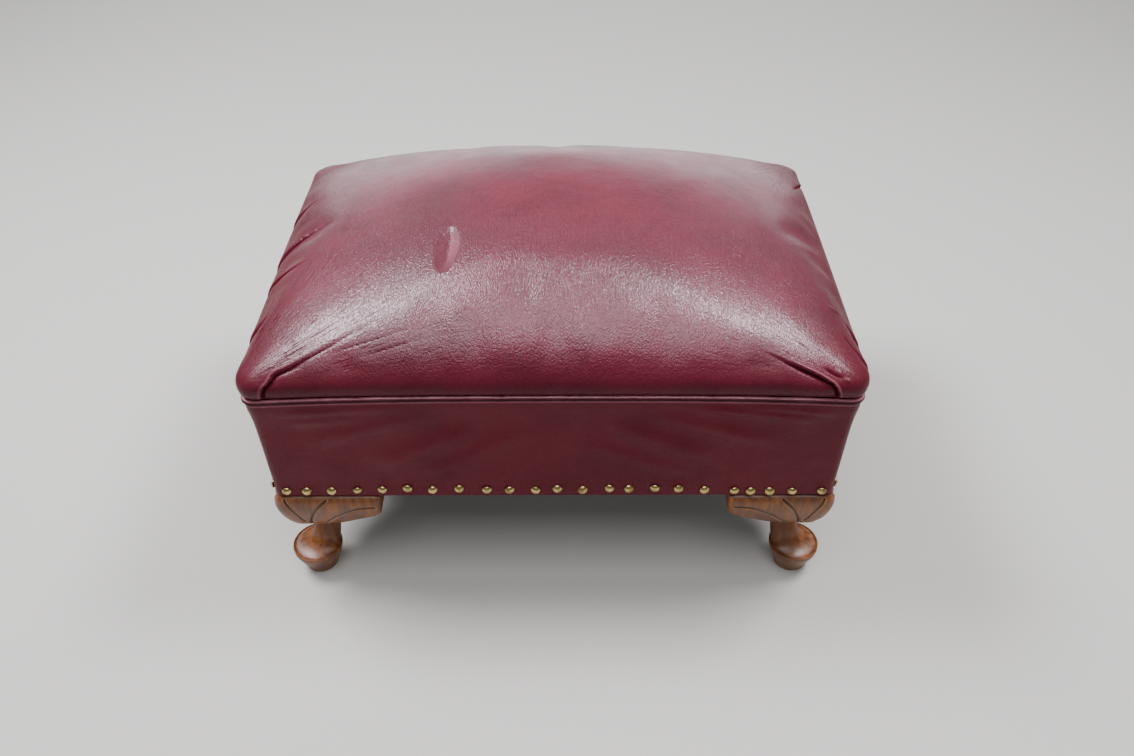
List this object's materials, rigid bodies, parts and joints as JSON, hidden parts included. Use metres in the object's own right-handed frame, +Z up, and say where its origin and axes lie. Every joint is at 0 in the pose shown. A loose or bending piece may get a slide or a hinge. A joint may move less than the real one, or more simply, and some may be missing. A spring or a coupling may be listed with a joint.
{
  "type": "upholstered footstool",
  "caption": "Low upholstered footstool with a domed leather seat, piped seat line, nailed leather border and carved bracket legs with pad feet.",
  "frame": {"origin": "on the floor under the middle of the stool", "axes": "+X towards the stool's right as seen from its front, +Y towards its back, +Z up"},
  "size_m": [0.596, 0.413, 0.3754],
  "materials": {
    "leather": "glossy grained burgundy leather",
    "show_wood": "stained and polished hardwood, worn on its edges",
    "frame_wood": "bare planed hardwood",
    "steel": "dull steel",
    "brass": "aged brass nail heads",
    "jute": "woven jute",
    "cotton": "soft cotton",
    "hair": "matted hair stuffing",
    "cambric": "thin black woven cloth",
    "card": "pressed card"
  },
  "bodies": {
    "root": {"front_rail": "frame_wood", "back_rail": "frame_wood", "right_rail": "frame_wood", "left_rail": "frame_wood", "dowel_front_left_lower": "frame_wood", "dowel_front_left_upper": "frame_wood", "dowel_back_left_lower": "frame_wood", "dowel_back_left_upper": "frame_wood", "dowel_front_right_lower": "frame_wood", "dowel_front_right_upper": "frame_wood", "dowel_back_right_lower": "frame_wood", "dowel_back_right_upper": "frame_wood", "leg_front_left": "show_wood", "corner_block_front_left": "frame_wood", "hanger_bolt_front_left": "steel", "washer_front_left": "steel", "nut_front_left": "steel", "leg_front_right": "show_wood", "corner_block_front_right": "frame_wood", "hanger_bolt_front_right": "steel", "washer_front_right": "steel", "nut_front_right": "steel", "leg_back_right": "show_wood", "corner_block_back_right": "frame_wood", "hanger_bolt_back_right": "steel", "washer_back_right": "steel", "nut_back_right": "steel", "leg_back_left": "show_wood", "corner_block_back_left": "frame_wood", "hanger_bolt_back_left": "steel", "washer_back_left": "steel", "nut_back_left": "steel", "webbing_across_front": "jute", "webbing_across_back": "jute", "webbing_deep_left": "jute", "webbing_deep_middle": "jute", "webbing_deep_right": "jute", "spring_front_left": "steel", "spring_front_middle": "steel", "spring_front_right": "steel", "spring_back_left": "steel", "spring_back_middle": "steel", "spring_back_right": "steel", "burlap": "jute", "stuffing_pad": "hair", "cotton_wadding": "cotton", "seat_cover": "leather", "welt_cord": "cotton", "welt_cover": "leather", "tacking_strip": "card", "border_wadding": "cotton", "border_band": "leather", "dust_cover": "cambric"}
  },
  "joints": []
}
